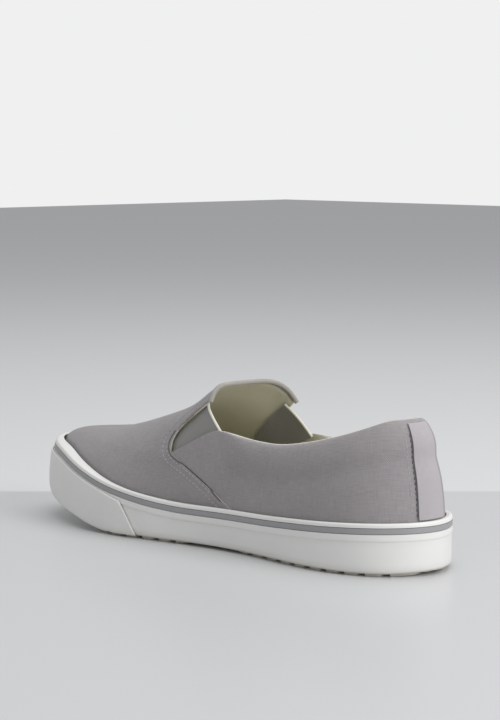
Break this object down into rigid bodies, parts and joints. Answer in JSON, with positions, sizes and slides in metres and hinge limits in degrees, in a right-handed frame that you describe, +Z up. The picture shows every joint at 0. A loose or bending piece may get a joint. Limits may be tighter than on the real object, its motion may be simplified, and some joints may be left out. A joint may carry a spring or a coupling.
{
  "type": "skate shoe",
  "caption": "Low canvas slip-on skate shoe with elastic side gussets, padded collar, striped rubber side wall and wrapped toe bumper.",
  "frame": {"origin": "on the floor under the middle of the shoe's length and width", "axes": "+Z up, +Y towards the toe, +X to the outer (lateral) side"},
  "size_m": [0.1043, 0.29, 0.0883],
  "materials": {
    "canvas": "plain woven cotton canvas",
    "twill_tape": "finer, smoother weave",
    "elastic": "ribbed elastic",
    "binding": "folded binding",
    "white_rubber": "satin",
    "grey_rubber": "satin",
    "insole_cloth": "cream drill"
  },
  "bodies": {
    "root": {"outsole": "white_rubber", "foxing": "white_rubber", "foxing_stripe": "grey_rubber", "toe_bumper": "white_rubber", "upper": "canvas", "gusset_medial": "elastic", "gusset_lateral": "elastic", "vamp_binding": "binding", "heel_strip": "twill_tape", "insole": "insole_cloth"}
  },
  "joints": []
}
